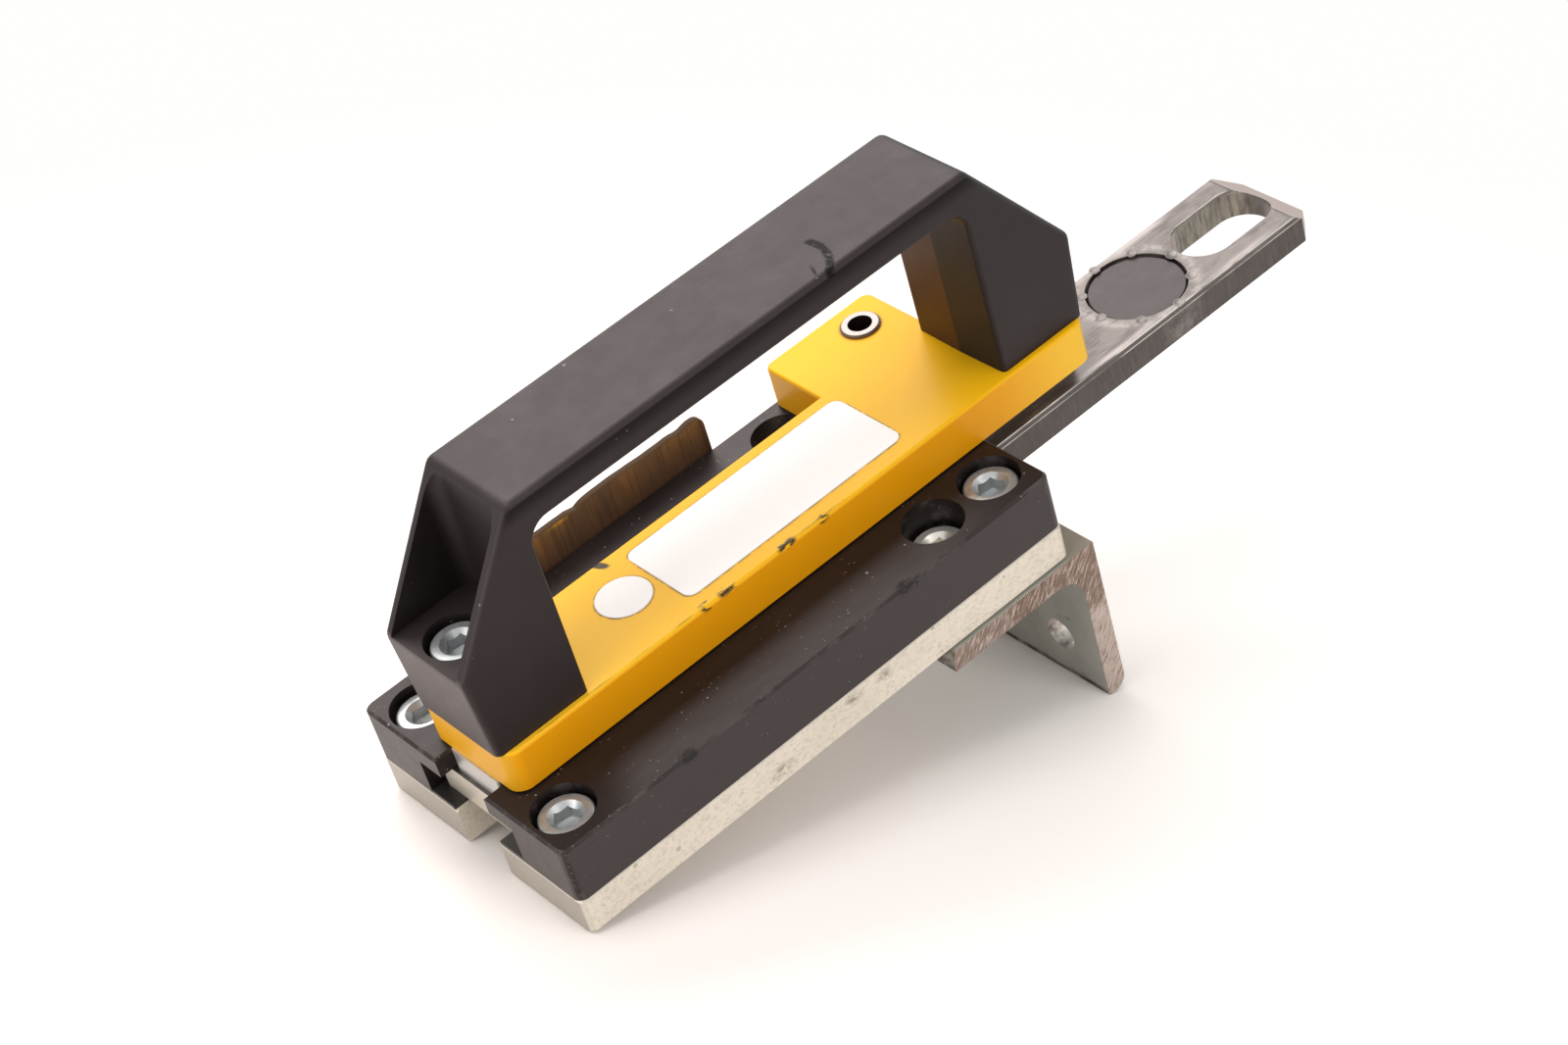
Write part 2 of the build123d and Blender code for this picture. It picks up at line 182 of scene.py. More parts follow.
# Finishes: each one is built from small steps on coordinates in millimetres
class Finish:
    """A material that follows the place (x, y, z) and the way each face looks (nx, ny, nz)."""

    def __init__(self, name, color, rough, metal=0.0):
        self.mat = bpy.data.materials.new(name)
        self.mat.use_nodes = True
        self.tree = self.mat.node_tree
        self.shader = self.tree.nodes["Principled BSDF"]
        self.shader.inputs["Base Color"].default_value = (*color, 1)
        self.shader.inputs["Roughness"].default_value = rough
        self.shader.inputs["Metallic"].default_value = metal
        self.color = color
        coord = self.node("ShaderNodeTexCoord")
        scale = self.node("ShaderNodeMapping")
        scale.inputs["Scale"].default_value = (1 / MM, 1 / MM, 1 / MM)
        self.link(coord.outputs["Object"], scale.inputs["Vector"])
        self.place = scale.outputs["Vector"]
        self.x, self.y, self.z = self.split(self.place)
        self.nx, self.ny, self.nz = self.split(coord.outputs["Normal"])

    def node(self, kind):
        return self.tree.nodes.new(kind)

    def link(self, a, b):
        self.tree.links.new(a, b)

    def split(self, vector):
        n = self.node("ShaderNodeSeparateXYZ")
        self.link(vector, n.inputs[0])
        return n.outputs

    def feed(self, value, socket):
        """Sets a socket to a number or a colour, or links another socket to it."""
        if isinstance(value, (int, float)):
            socket.default_value = value
        elif isinstance(value, tuple):
            socket.default_value = (*value, 1)
        else:
            self.link(value, socket)

    def math(self, operation, a, b=0.0):
        n = self.node("ShaderNodeMath")
        n.operation = operation
        self.feed(a, n.inputs[0])
        self.feed(b, n.inputs[1])
        return n.outputs[0]

    def plus(self, a, b):
        return self.math("ADD", a, b)

    def minus(self, a, b):
        return self.math("SUBTRACT", a, b)

    def times(self, *values):
        out = values[0]
        for v in values[1:]:
            out = self.math("MULTIPLY", out, v)
        return out

    def most(self, *values):
        out = values[0]
        for v in values[1:]:
            out = self.math("MAXIMUM", out, v)
        return out

    def apart(self, a, b=0.0):
        """How far a value is from another, or from nought."""
        return self.math("ABSOLUTE", self.minus(a, b))

    def diagonal(self, a, b):
        return self.math("SQRT", self.plus(self.times(a, a), self.times(b, b)))

    def away(self, x, y):
        """Distance in plan from an upright axis."""
        return self.diagonal(self.minus(self.x, x), self.minus(self.y, y))

    def ramp(self, value, low, high):
        """0 at low, 1 at high, smooth between."""
        n = self.node("ShaderNodeMapRange")
        n.interpolation_type = "SMOOTHSTEP"
        self.feed(value, n.inputs["Value"])
        n.inputs["From Min"].default_value = low
        n.inputs["From Max"].default_value = high
        return n.outputs["Result"]

    def fall(self, value, low, high):
        """1 at low, 0 at high, smooth between."""
        return self.minus(1.0, self.ramp(value, low, high))

    def near(self, value, target, width):
        """1 where the value is at the target, 0 a width away."""
        return self.fall(self.apart(value, target), 0.0, width)

    def across(self, way, low=0.8):
        """1 on the faces square to an axis, on both sides of the part."""
        return self.ramp(self.apart(way), low, 0.95)

    def bevel_faces(self):
        """1 on narrow faces that lean between two main directions."""
        nx, ny, nz = self.apart(self.nx), self.apart(self.ny), self.apart(self.nz)
        lean = self.most(self.times(nx, nz), self.times(ny, nz), self.times(nx, ny))
        return self.ramp(lean, 0.2, 0.45)

    def noise(self, size, detail=4.0, rough=0.6, stretch=(1, 1, 1), shift=0.0, turn=0.0):
        """Cloudy noise whose patches are about the given size in millimetres, turned about Y."""
        turned = self.node("ShaderNodeMapping")
        turned.inputs["Rotation"].default_value = (0, math.radians(turn), 0)
        self.link(self.place, turned.inputs["Vector"])
        spread = self.node("ShaderNodeMapping")
        spread.inputs["Scale"].default_value = tuple(1.0 / (size * s) for s in stretch)
        spread.inputs["Location"].default_value = (shift, shift * 1.7, shift * 0.6)
        self.link(turned.outputs["Vector"], spread.inputs["Vector"])
        n = self.node("ShaderNodeTexNoise")
        n.inputs["Scale"].default_value = 1.0
        n.inputs["Detail"].default_value = detail
        n.inputs["Roughness"].default_value = rough
        self.link(spread.outputs["Vector"], n.inputs["Vector"])
        return n.outputs["Fac"]

    def specks(self, size, share):
        """Small dots of several sizes, in a share of the cells of the given size."""
        spread = self.node("ShaderNodeMapping")
        spread.inputs["Scale"].default_value = (1.0 / size, 1.0 / size, 1.0 / size)
        self.link(self.place, spread.inputs["Vector"])
        n = self.node("ShaderNodeTexVoronoi")
        n.inputs["Scale"].default_value = 1.0
        self.link(spread.outputs["Vector"], n.inputs["Vector"])
        chance, wide, _ = self.split(n.outputs["Color"])
        chosen = self.math("LESS_THAN", chance, share)
        dot = self.math("LESS_THAN", n.outputs["Distance"], self.times(wide, 0.28))
        return self.times(chosen, dot)

    def lay(self, mask, color):
        """Lays a colour over what is there, where the mask is 1 or more."""
        n = self.node("ShaderNodeMix")
        n.data_type = "RGBA"
        self.feed(mask, n.inputs["Factor"])
        self.feed(self.color, n.inputs[6])
        self.feed(color, n.inputs[7])
        self.color = n.outputs[2]
        self.link(self.color, self.shader.inputs["Base Color"])

    def gloss(self, value, low, high):
        """Roughness from low to high as the value goes from 0 to 1."""
        n = self.node("ShaderNodeMapRange")
        self.feed(value, n.inputs["Value"])
        n.inputs["To Min"].default_value = low
        n.inputs["To Max"].default_value = high
        self.link(n.outputs["Result"], self.shader.inputs["Roughness"])

    def shine(self, level, tone=(1, 1, 1)):
        """How strongly the surface mirrors, and in which tone."""
        self.feed(level, self.shader.inputs["Specular IOR Level"])
        self.feed(tone, self.shader.inputs["Specular Tint"])

    def relief(self, height, depth_mm, strength):
        n = self.node("ShaderNodeBump")
        n.inputs["Strength"].default_value = strength
        n.inputs["Distance"].default_value = depth_mm * MM
        self.link(height, n.inputs["Height"])
        self.link(n.outputs["Normal"], self.shader.inputs["Normal"])


def yellow_paint():
    f = Finish("safety_yellow_paint", (0.90, 0.485, 0.005), 0.3)
    f.shine(0.14)
    f.lay(f.times(f.ramp(f.noise(38, 3, 0.5), 0.45, 0.75), 0.35), (0.85, 0.43, 0.004))
    # Painted light and shade: the sides painted darker, lighter again towards the right end as a painted
    # reflection, the faces turned to -X painted darker, and the top painted lighter towards the left end
    top = f.ramp(f.nz, 0.6, 0.9)
    sides = f.fall(f.nz, 0.25, 0.8)
    f.lay(sides, (0.83, 0.345, 0.003))
    f.lay(f.times(sides, f.ramp(f.x, 70, 108)), (0.95, 0.565, 0.045))
    f.lay(f.fall(f.nx, -0.85, -0.15), (0.64, 0.315, 0.010))
    f.lay(f.times(top, f.fall(f.x, -50, 0), 0.6), (0.99, 0.56, 0.03))
    # Darker brown ring around the lock eye, and soil along the outlines of label and sticker
    f.lay(f.times(top, f.near(f.away(EYE_X, EYE_Y), 4.9, 0.9), 0.7), (0.30, 0.13, 0.02))
    dx = f.minus(f.apart(f.x, LABEL_X), LABEL_LONG / 2 - LABEL_CORNER)
    dy = f.minus(f.apart(f.y, LABEL_Y), LABEL_WIDE / 2 - LABEL_CORNER)
    off_label = f.minus(f.diagonal(f.most(dx, 0.0), f.most(dy, 0.0)), LABEL_CORNER)
    off_sticker = f.minus(f.away(STICKER_X, STICKER_Y), STICKER_R)
    soiled = f.most(f.near(off_label, 0.15, 0.5), f.near(off_sticker, 0.15, 0.5))
    f.lay(f.times(top, soiled, f.ramp(f.noise(2.5, 4, 0.7), 0.35, 0.55), 0.7), (0.16, 0.085, 0.02))
    # Chips in the upper front edge, a rubbed line behind it, light rubs and a scrape
    edge = f.times(f.near(f.y, PLATE_FRONT + 0.6, 2.1), f.near(f.z, PLATE_TOP, 1.5))
    wear = f.ramp(f.noise(1.5, 4, 0.7, (3.2, 1, 1)), 0.46, 0.60)
    for x, reach in ((-9.4, 2.6), (-3.5, 3.4), (14.0, 3.4), (24.7, 2.2)):
        f.lay(f.times(edge, f.near(f.x, x, reach), wear, 3.0), (0.06, 0.038, 0.012))
    line = f.times(f.near(f.y, PLATE_FRONT + 0.9, 0.45), top, f.fall(f.x, 30, 60))
    line = f.times(line, f.ramp(f.noise(5, 4, 0.7, (3, 1, 1), 3.0), 0.48, 0.62))
    f.lay(f.times(line, 0.55), (0.16, 0.10, 0.02))
    rub = f.ramp(f.noise(1.4, 4, 0.7, (5, 1, 1), 8.0), 0.70, 0.76)
    f.lay(f.times(rub, 0.3), (0.42, 0.24, 0.03))
    slant = f.plus(f.x, f.times(f.y, 0.4))
    scrape = f.times(f.near(slant, -9.6, 1.5), f.near(f.y, 15.0, 2.6), f.near(f.z, PLATE_TOP, 0.6))
    scrape = f.times(scrape, f.ramp(f.noise(1.8, 4, 0.7, (2, 1, 1), 5.0), 0.36, 0.46), 3.0)
    f.lay(scrape, (0.05, 0.035, 0.015))
    f.gloss(f.noise(9, 4), 0.24, 0.42)
    f.relief(f.noise(1.2, 2, 0.5), 0.05, 0.25)
    return f.mat


def handle_plastic():
    f = Finish("dark_grey_moulding", (0.012, 0.0085, 0.0085), 0.46)
    f.lay(f.times(f.ramp(f.noise(26, 4, 0.6), 0.4, 0.75), 0.6), (0.019, 0.0145, 0.0145))
    rubbed = f.times(f.near(f.z, CROWN_TOP, 1.5), f.ramp(f.noise(14, 3, 0.5), 0.5, 0.7))
    f.lay(f.times(rubbed, 0.4), (0.04, 0.034, 0.034))
    low_end = f.times(f.fall(f.x, -70, -66), f.across(f.nx))
    f.lay(f.times(low_end, 0.9), (0.085, 0.068, 0.065))
    f.lay(f.times(f.specks(1.5, 0.012), 0.5), (0.25, 0.24, 0.23))
    # Yellow thrown back on the rear half of the right leg's inner face
    inner = f.times(f.fall(f.nx, -0.95, -0.85), f.ramp(f.x, 70, 75), f.fall(f.x, 84, 90))
    f.lay(f.times(inner, f.ramp(f.y, -0.5, 0.5)), (0.058, 0.024, 0.010))
    # Painted shade: a dark line under the crown's front edge
    painted_crown_shade = f.times(f.near(f.z, CROWN_TOP - 1.4, 4.6), f.fall(f.ny, -0.75, -0.35), f.fall(f.nz, 0.2, 0.6))
    f.lay(f.times(painted_crown_shade, 0.7), (0.002, 0.0015, 0.0015))
    # Scratch on the crown: a broken arc and a short straight nick
    wander = f.plus(f.away(38.6, -5.0), f.times(f.minus(f.noise(2.4, 4, 0.7), 0.5), 1.2))
    strokes = f.ramp(f.noise(0.7, 4, 0.75, (1, 2.6, 1)), 0.38, 0.52)
    arc = f.times(f.near(wander, 11.2, 1.3), strokes, f.ramp(f.x, 43.5, 45), f.fall(f.y, -3, -1), 1.7)
    arc = f.math("MINIMUM", arc, 1.0)
    lean = f.minus(f.x, f.plus(47.5, f.times(f.y, 0.383)))
    nick = f.times(f.near(lean, 0.0, 0.5), f.near(f.y, -11.5, 3.2))
    gouge = f.times(f.most(arc, nick), f.ramp(f.z, CROWN_TOP - 2.0, CROWN_TOP - 0.5))
    f.lay(f.times(gouge, 0.9), (0.002, 0.002, 0.002))
    dull = f.plus(f.plus(f.times(gouge, 0.22), f.times(painted_crown_shade, 0.17)), f.times(inner, 0.12))
    f.shine(f.most(f.minus(0.31, dull), 0.03), (1.0, 0.865, 0.875))
    f.gloss(f.noise(5, 5, 0.7), 0.40, 0.56)
    f.relief(f.minus(f.noise(0.42, 3, 0.65), f.times(gouge, 6.0)), 0.05, 0.5)
    return f.mat


def rail_plastic():
    f = Finish("black_rail_plastic", (0.007, 0.0045, 0.004), 0.5)
    f.shine(0.35, (1.0, 0.88, 0.89))
    f.lay(f.times(f.ramp(f.noise(17, 5, 0.65, (3, 1, 1)), 0.42, 0.72), 0.55), (0.018, 0.013, 0.012))
    # Outer sides and sawn ends painted lighter as painted light, but not the walls of the counterbores
    front = f.times(f.across(f.ny), f.ramp(f.apart(f.y), RAIL_SIDE - 0.9, RAIL_SIDE - 0.3))
    f.lay(f.times(front, 0.75), (0.042, 0.035, 0.035))
    sawn = f.times(f.across(f.nx), f.ramp(f.apart(f.x), RAIL_END - 1.0, RAIL_END - 0.4))
    f.lay(f.times(sawn, 0.9), (0.055, 0.045, 0.043))
    scuffed = f.times(f.bevel_faces(), f.ramp(f.noise(3.5, 4, 0.7, (3, 1, 1)), 0.45, 0.62))
    f.lay(f.times(scuffed, 0.45), (0.085, 0.073, 0.07))
    dusty = f.ramp(f.noise(14, 3, 0.6), 0.42, 0.66)
    f.lay(f.times(f.specks(0.8, 0.3), dusty, 0.5), (0.34, 0.32, 0.30))
    f.lay(f.times(f.specks(1.4, 0.05), 0.5), (0.40, 0.37, 0.35))
    dents = f.most(f.near(f.x, 28.4, 4.2), f.near(f.x, -36.2, 2.6))
    worn = f.times(f.near(f.y, -RAIL_SIDE, 2.6), f.near(f.z, RAIL_TOP, 2.4), dents)
    worn = f.times(worn, f.ramp(f.noise(1.3, 5, 0.75, (2.4, 1, 1)), 0.46, 0.50), 4.0)
    f.lay(worn, (0.002, 0.002, 0.002))
    rubs = f.ramp(f.noise(1.3, 4, 0.8, (4, 1, 2), 6.0), 0.70, 0.75)
    f.lay(f.times(rubs, 0.2), (0.20, 0.18, 0.17))
    f.gloss(f.noise(4, 5, 0.7, (3, 1, 1)), 0.34, 0.56)
    f.relief(f.minus(f.noise(0.6, 4, 0.7, (2.5, 1, 1)), f.times(worn, 5.0)), 0.05, 0.4)
    return f.mat


def strip_plastic():
    f = Finish("slide_strip_plastic", (0.020, 0.018, 0.018), 0.35)
    f.gloss(f.noise(3, 3, 0.6, (12, 1, 1)), 0.28, 0.45)
    return f.mat


def guard_plastic():
    """Dull strip, browner to its top edge as a painted reflection of the yellow carriage, with a painted
    orange glint near the top at the left and a top face painted darker as painted shade, scored from top to
    bottom.
    """
    f = Finish("worn_guard_strip", (0.098, 0.062, 0.040), 0.3)
    # Painted reflection of the yellow carriage, browner towards the top edge
    painted_yellow_reflection = f.times(f.ramp(f.z, 24, 38), f.ramp(f.noise(7, 4, 0.6, (1.5, 1, 4)), 0.3, 0.7))
    f.lay(painted_yellow_reflection, (0.27, 0.145, 0.045))
    # Painted reflection: an orange glint near the top edge at the left
    f.lay(f.times(f.ramp(f.z, 33.4, 34.6), f.near(f.x, -11.0, 4.5), 0.8), (0.62, 0.33, 0.03))
    scored = f.ramp(f.noise(0.9, 3, 0.65, (1, 1, 30), 2.0), 0.48, 0.62)
    f.lay(f.times(scored, 0.45), (0.045, 0.026, 0.015))
    # Painted shade: the top face painted darker
    rim = f.ramp(f.nz, 0.15, 0.5)
    f.lay(rim, (0.06, 0.032, 0.014))
    f.shine(f.minus(0.5, f.times(rim, 0.45)))
    f.gloss(f.noise(0.7, 3, 0.6, (1, 1, 26)), 0.24, 0.46)
    f.relief(f.noise(0.5, 3, 0.6, (1, 1, 30)), 0.03, 0.35)
    return f.mat


def zinc_plate():
    f = Finish("zinc_plated_plate", (0.77, 0.70, 0.595), 0.45, 0.3)
    f.lay(f.times(f.ramp(f.noise(11, 5, 0.65, (2, 1, 1)), 0.4, 0.75), 0.5), (0.66, 0.59, 0.49))
    # Painted shade: the end faces, turned along X, painted darker
    f.lay(f.times(f.across(f.nx), 0.8), (0.26, 0.235, 0.20))
    # Mottling in three sizes, and smudges on the front side
    mottled = (
        (f.noise(0.9, 5, 0.8, (1.5, 1, 1)), 0.46, 0.66, 0.5, (0.42, 0.385, 0.335)),
        (f.noise(3.1, 5, 0.75, (1.6, 1, 1), 2.0), 0.64, 0.74, 0.55, (0.22, 0.205, 0.175)),
        (f.noise(4.5, 6, 0.8, (0.7, 1, 1.6), 7.0, 35), 0.62, 0.70, 0.5, (0.21, 0.185, 0.16)),
    )
    for cloud, low, high, share, color in mottled:
        f.lay(f.times(f.ramp(cloud, low, high), share), color)
    smudge = f.ramp(f.noise(1.6, 5, 0.75, (2, 1, 1), 4.0), 0.42, 0.56)
    for x, z, reach in ((-16.1, 3.8, 5.0), (15.6, 7.1, 3.2), (6.1, 7.5, 4.0)):
        spot = f.times(f.near(f.x, x, reach), f.near(f.z, z, 2.6), f.fall(f.ny, -0.9, -0.7))
        f.lay(f.times(spot, smudge, 0.8), (0.22, 0.185, 0.15))
    f.lay(f.times(f.bevel_faces(), 0.5), (0.50, 0.47, 0.42))
    f.lay(f.times(f.specks(2.2, 0.05), 0.5), (0.25, 0.23, 0.2))
    f.gloss(f.noise(2.4, 5, 0.7), 0.34, 0.55)
    f.relief(f.noise(0.35, 4, 0.7), 0.04, 0.4)
    return f.mat


def sawn_angle():
    """Zinc on the rolled faces, bare brushed and rusted steel on the two sawn ends."""
    f = Finish("rolled_angle_steel", (0.42, 0.42, 0.385), 0.4, 0.7)
    f.lay(f.times(f.ramp(f.noise(12, 4, 0.6), 0.4, 0.7), 0.5), (0.27, 0.285, 0.265))
    f.lay(f.times(f.ramp(f.noise(5, 5, 0.75, (1, 4, 1), 3.0), 0.66, 0.72), 0.7), (0.10, 0.09, 0.075))
    toe = f.most(f.fall(f.z, -44.2, -43.0), f.fall(f.x, 33.6, 35.0))
    f.lay(f.times(toe, f.ramp(f.noise(3, 5, 0.7, (1, 3, 1)), 0.35, 0.6)), (0.085, 0.06, 0.045))
    sawn = f.across(f.ny, 0.75)
    f.lay(sawn, (0.45, 0.37, 0.325))
    f.lay(f.times(sawn, f.fall(f.x, 55, 66)), (0.27, 0.20, 0.165))
    # Rust gathers near the corner, and the saw's slanting grain breaks it up
    grain = f.noise(0.6, 4, 0.7, (0.8, 1, 6), 0.0, -38)
    near_corner = f.times(f.ramp(f.x, 40, 66), f.ramp(f.z, -26, -9))
    rust = f.plus(f.times(f.noise(3.4, 6, 0.8), 0.62), f.times(near_corner, 0.30))
    rust = f.ramp(f.plus(rust, f.times(grain, 0.34)), 0.57, 0.68)
    f.lay(f.times(sawn, rust, 0.8), (0.165, 0.098, 0.068))
    f.lay(f.times(sawn, f.ramp(grain, 0.52, 0.60), 0.7), (0.60, 0.52, 0.47))
    f.lay(f.times(sawn, f.fall(grain, 0.38, 0.46), 0.75), (0.11, 0.075, 0.058))
    # Painted glints and painted shade in the walls of the two mounting holes
    from_hole = f.diagonal(f.minus(f.apart(f.y), BRACKET_HOLE_Y), f.minus(f.z, BRACKET_HOLE_Z))
    wall = f.times(f.near(from_hole, 4.45, 0.5), f.fall(f.apart(f.nx), 0.3, 0.6))
    glint = f.noise(2.6, 3, 0.6, (1.5, 1, 1))
    f.lay(f.times(wall, f.ramp(glint, 0.42, 0.60), 0.6), (0.78, 0.72, 0.68))
    f.lay(f.times(wall, f.fall(glint, 0.36, 0.50), 0.6), (0.14, 0.12, 0.105))
    f.gloss(grain, 0.3, 0.6)
    f.relief(grain, 0.05, 0.35)
    return f.mat


def tongue_steel():
    f = Finish("brushed_flat_bar", (0.125, 0.108, 0.103), 0.45, 0.65)
    f.lay(f.times(f.ramp(f.noise(13, 4, 0.6, (3.5, 1, 1)), 0.42, 0.68), 0.8), (0.072, 0.062, 0.060))
    f.lay(f.times(f.ramp(f.noise(5, 4, 0.65, (4, 1, 1), 5.0), 0.50, 0.60), 0.6), (0.058, 0.049, 0.047))
    # Polished by the lips along both edges, brushed along the top and across the sides
    polished = f.times(f.near(f.apart(f.y), 13.4, 1.6), f.ramp(f.noise(8, 4, 0.6, (4, 1, 1), 2.0), 0.4, 0.6))
    f.lay(f.times(polished, 0.7), (0.33, 0.30, 0.285))
    along = f.noise(0.45, 4, 0.7, (26, 1, 1))
    f.lay(f.times(f.ramp(along, 0.54, 0.64), 0.5), (0.22, 0.198, 0.188))
    upright = f.noise(0.5, 4, 0.7, (1, 1, 14), 2.0)
    side = f.across(f.ny)
    # Painted shade: the sides painted darker
    f.lay(f.times(side, 0.8), (0.075, 0.062, 0.056))
    f.lay(f.times(side, f.ramp(upright, 0.45, 0.65), 0.6), (0.13, 0.108, 0.098))
    ring = f.times(f.near(f.away(DISC_X, 0.0), 14.6, 2.4), f.ramp(f.noise(3, 4, 0.7), 0.35, 0.65))
    f.lay(f.times(ring, 0.6), (0.27, 0.25, 0.235))
    # Painted shade on the bevels, and painted highlights as bright lines along their upper and lower edges
    rims = f.ramp(f.noise(5, 4, 0.6, (3, 1, 1)), 0.3, 0.55)
    f.lay(f.times(f.bevel_faces(), 0.75), (0.085, 0.072, 0.066))
    low_line = f.times(f.near(f.z, BAR_TOP - 0.97, 0.2), 0.6)
    lines = f.most(f.near(f.z, BAR_TOP - 0.05, 0.3), low_line)
    f.lay(f.times(f.bevel_faces(), lines, rims, 1.6), (0.60, 0.56, 0.53))
    # Nose bevel painted lighter as a painted highlight, walls of the slot, left end, soft lighter patches
    # towards the tip as a painted reflection, painted shade under the carriage
    f.lay(f.times(f.ramp(f.nx, 0.3, 0.45), 0.8), (0.46, 0.37, 0.33))
    slot = f.times(f.near(f.apart(f.y), 6.0, 6.0), f.fall(f.nz, 0.3, 0.6), f.near(f.x, SLOT_X, 40.0))
    f.lay(f.times(slot, f.ramp(f.noise(1.1, 4, 0.7, (1, 1, 5)), 0.2, 0.7), 0.8), (0.46, 0.425, 0.345))
    left_end = f.times(f.fall(f.x, -67, -64), f.across(f.nx))
    f.lay(left_end, (0.62, 0.575, 0.49))
    tip = f.times(f.ramp(f.x, 140, 176), f.ramp(f.nz, 0.4, 0.7), f.fall(f.nx, 0.1, 0.3))
    f.lay(f.times(tip, f.ramp(f.noise(6, 4, 0.6), 0.35, 0.65), 0.4), (0.22, 0.195, 0.185))
    hidden = f.times(f.ramp(f.x, 72, 74), f.fall(f.x, 104, 118))
    hidden = f.times(hidden, f.ramp(f.noise(9, 4, 0.6, (2, 1, 1), 1.0), 0.3, 0.6))
    f.lay(f.times(hidden, 0.55), (0.07, 0.062, 0.060))
    f.gloss(along, 0.26, 0.5)
    f.relief(along, 0.03, 0.3)
    return f.mat


def disc_plastic():
    f = Finish("tag_disc_moulding", (0.040, 0.033, 0.034), 0.4)
    f.shine(0.36, (1.0, 0.87, 0.90))
    f.lay(f.times(f.ramp(f.noise(4, 4, 0.6), 0.45, 0.75), 0.5), (0.062, 0.055, 0.055))
    f.lay(f.times(f.ramp(f.away(DISC_X, 0.0), 11.5, 11.9), 0.85), (0.012, 0.012, 0.012))
    f.gloss(f.noise(2.4, 3, 0.6, (3, 1, 1)), 0.36, 0.5)
    f.relief(f.noise(0.3, 2, 0.6), 0.02, 0.3)
    return f.mat


def milled_metal():
    f = Finish("milled_spacer_metal", (0.60, 0.585, 0.565), 0.4, 0.85)
    f.lay(f.times(f.ramp(f.noise(0.8, 4, 0.7, (9, 1, 1)), 0.5, 0.7), 0.5), (0.42, 0.40, 0.385))
    f.lay(f.times(f.ramp(f.noise(5, 4, 0.7), 0.58, 0.72), 0.5), (0.30, 0.28, 0.26))
    f.gloss(f.noise(2, 4), 0.32, 0.5)
    return f.mat


def zinc_with_painted_highlight():
    """Zinc on the screws, with a painted highlight on the deep bracket screws so that they show in their
    wells.
    """
    f = Finish("zinc_fasteners_with_painted_highlight", (0.46, 0.48, 0.49), 0.35, 0.68)
    f.lay(f.times(f.ramp(f.noise(2.2, 4, 0.65), 0.45, 0.7), 0.6), (0.30, 0.325, 0.335))
    f.lay(f.times(f.ramp(f.noise(0.9, 5, 0.75, (1, 1, 1), 4.0), 0.62, 0.72), 0.6), (0.17, 0.18, 0.18))
    # Painted highlight on the bracket screws
    f.lay(f.near(f.x, BRACKET_SCREW_X, 9), (0.92, 0.89, 0.80))
    f.gloss(f.noise(1.4, 4), 0.24, 0.42)
    f.relief(f.noise(0.3, 3, 0.6), 0.02, 0.35)
    return f.mat


def bush_steel():
    """Pressed bush: a bright ring between a dark brown rim and a bore painted dark as painted shade."""
    f = Finish("pressed_bush_steel", (0.30, 0.275, 0.26), 0.38, 0.55)
    rim = f.away(EYE_X, EYE_Y)
    f.lay(f.times(f.ramp(rim, 4.3, 4.6), 0.85), (0.10, 0.055, 0.025))
    # Painted shade on the walls of the bore
    f.lay(f.times(f.fall(rim, 3.05, 3.3), f.fall(f.nz, 0.3, 0.6), 0.97), (0.020, 0.010, 0.006))
    f.gloss(f.noise(1.2, 3), 0.24, 0.42)
    return f.mat


def label_paper():
    f = Finish("blank_white_label", (0.83, 0.795, 0.78), 0.34)
    f.lay(f.times(f.ramp(f.noise(9, 4, 0.6), 0.5, 0.75), 0.35), (0.79, 0.75, 0.725))
    f.lay(f.times(f.ramp(f.noise(1.1, 4, 0.75, (5, 1, 1)), 0.67, 0.72), 0.35), (0.45, 0.42, 0.40))
    f.gloss(f.noise(6, 3), 0.28, 0.42)
    return f.mat


ZINC = zinc_with_painted_highlight()
RAIL_FINISH = rail_plastic()
STRIP_FINISH = strip_plastic()
GUARD_FINISH = guard_plastic()
BAR_FINISH = tongue_steel()
BUSH_FINISH = bush_steel()
PAPER = label_paper()
FINISHES = {
    "base_plate": zinc_plate(),
    "front_rail": RAIL_FINISH,
    "rear_rail": RAIL_FINISH,
    "front_slide_strip": STRIP_FINISH,
    "rear_slide_strip": STRIP_FINISH,
    "guard_strip": GUARD_FINISH,
    "guard_strip_screws": ZINC,
    "front_rail_screws": ZINC,
    "rear_rail_screws": ZINC,
    "bracket_screws": ZINC,
    "left_handle_screw": ZINC,
    "right_handle_screw": ZINC,
    "handle_lock_washers": ZINC,
    "angle_bracket": sawn_angle(),
    "tongue_bar": BAR_FINISH,
    "actuator_disc": disc_plastic(),
    "stop_pin": BUSH_FINISH,
    "spacer_block": milled_metal(),
    "carriage_plate": yellow_paint(),
    "lock_eye": BUSH_FINISH,
    "bow_handle": handle_plastic(),
}
for name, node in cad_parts.items():
    for i in range(len(node.data.materials)):
        node.data.materials[i] = FINISHES[name]


# Cap screws: knurled head, hexagon socket and a threaded shank
def socket_tools(x, y, top):
    """The solids that cut the key socket: its countersunk mouth and the hexagon with a cone end."""
    key = cylinder(x, y, top, KEY_R, HEAD_HIGH, 6, turn=0.35)
    start_edit(key)
    pick(key, "faces", lambda c, w: w.z < -0.9)
    step_picked(0.4, -0.9)
    bpy.ops.mesh.merge(type="CENTER")
    end_edit()
    bpy.ops.mesh.primitive_cone_add(vertices=48, radius1=2.9 * MM, radius2=4.5 * MM, depth=1.6 * MM,
                                    location=(x * MM, y * MM, (top - 0.6) * MM))
    return bpy.context.object, key


def draw_in(share, x, y):
    """Draws the picked vertices in towards an upright axis, to a share of their distance."""
    bpy.ops.transform.resize(value=(share, share, 1), center_override=(x * MM, y * MM, 0))


